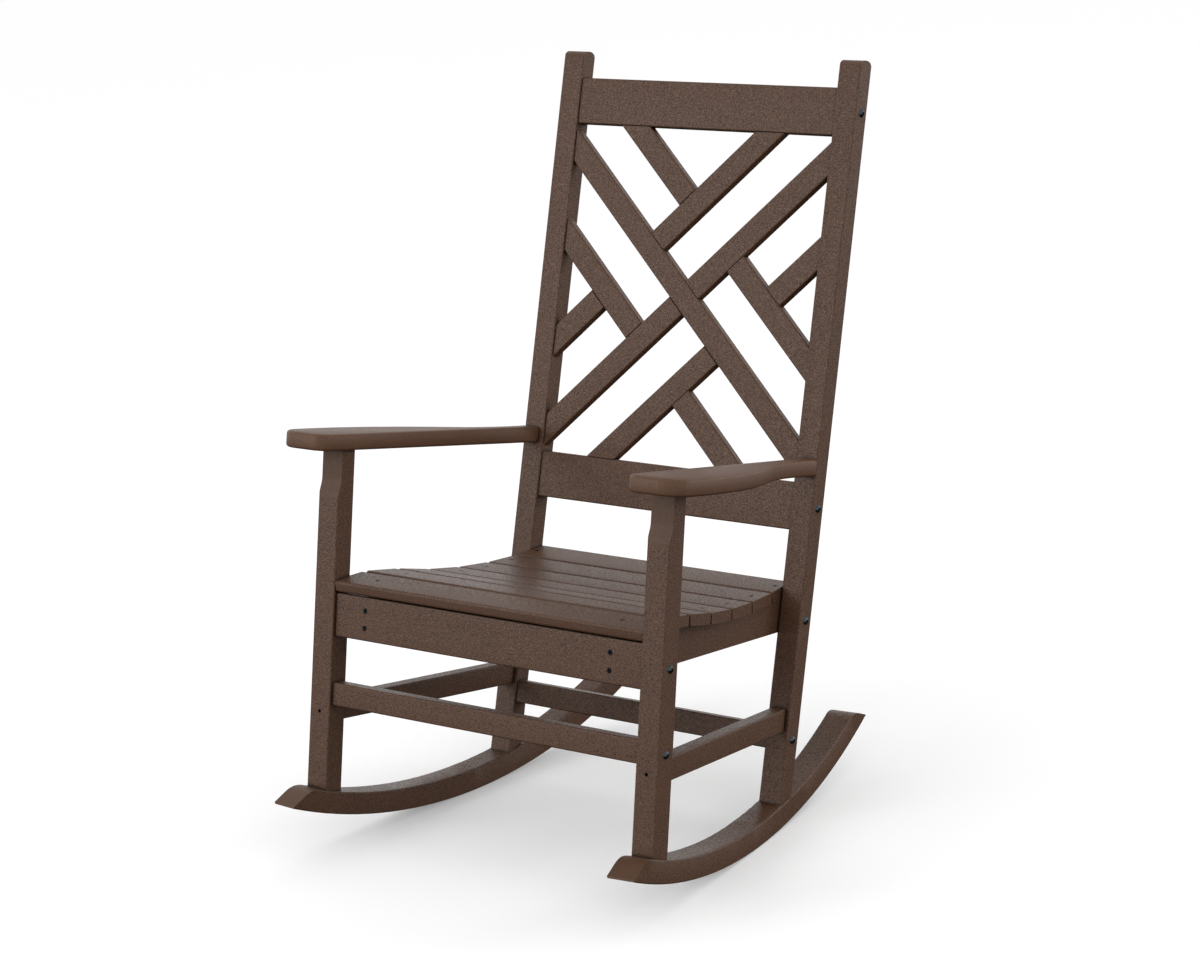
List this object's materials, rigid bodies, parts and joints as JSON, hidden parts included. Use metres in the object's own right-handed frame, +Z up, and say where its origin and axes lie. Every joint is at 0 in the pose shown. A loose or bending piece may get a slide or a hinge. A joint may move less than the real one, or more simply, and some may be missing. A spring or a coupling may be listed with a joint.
{
  "type": "rocking chair",
  "caption": "Porch rocking chair of brown plastic lumber: woven diagonal lattice back, dipped slatted seat, flat swept arms and long curved rockers.",
  "frame": {"origin": "on the floor plane that touches the lowest line of both rockers, in the middle of the overall width and length, with the empty chair tipped back on its rockers as in the picture", "axes": "+Z up, the sitter faces -Y, +X towards the side at the right of a viewer who faces the chair's front"},
  "size_m": [0.737, 0.8022, 1.1018],
  "materials": {
    "lumber": "dark brown solid plastic lumber, fine leathery grain on sawn faces and smooth on machined edges",
    "fastener": "black coated steel",
    "dowel": "brown plastic rod, hidden in the joints"
  },
  "bodies": {
    "root": {"front_post_l": "lumber", "front_post_r": "lumber", "rear_post_l": "lumber", "rear_post_r": "lumber", "rocker_l": "lumber", "rocker_r": "lumber", "arm_l": "lumber", "arm_r": "lumber", "top_rail": "lumber", "lower_rail": "lumber", "lattice_slat_1": "lumber", "lattice_slat_2": "lumber", "lattice_slat_3": "lumber", "lattice_slat_4": "lumber", "lattice_slat_5": "lumber", "lattice_slat_6": "lumber", "lattice_slat_7": "lumber", "lattice_slat_8": "lumber", "lattice_slat_9": "lumber", "lattice_slat_10": "lumber", "lattice_slat_11": "lumber", "seat_slat_1": "lumber", "seat_slat_2": "lumber", "seat_slat_3": "lumber", "seat_slat_4": "lumber", "seat_slat_5": "lumber", "seat_slat_6": "lumber", "seat_slat_7": "lumber", "seat_rail_l": "lumber", "seat_rail_r": "lumber", "front_apron": "lumber", "front_stretcher": "lumber", "rear_stretcher": "lumber", "side_stretcher_l": "lumber", "side_stretcher_r": "lumber", "rear_post_bolts": "fastener", "front_post_bolts": "fastener", "seat_screws": "fastener", "apron_screws": "fastener", "stretcher_screws": "fastener", "rocker_screws": "fastener", "arm_screws": "fastener", "arm_dowels": "dowel", "lattice_dowels": "dowel"}
  },
  "joints": []
}
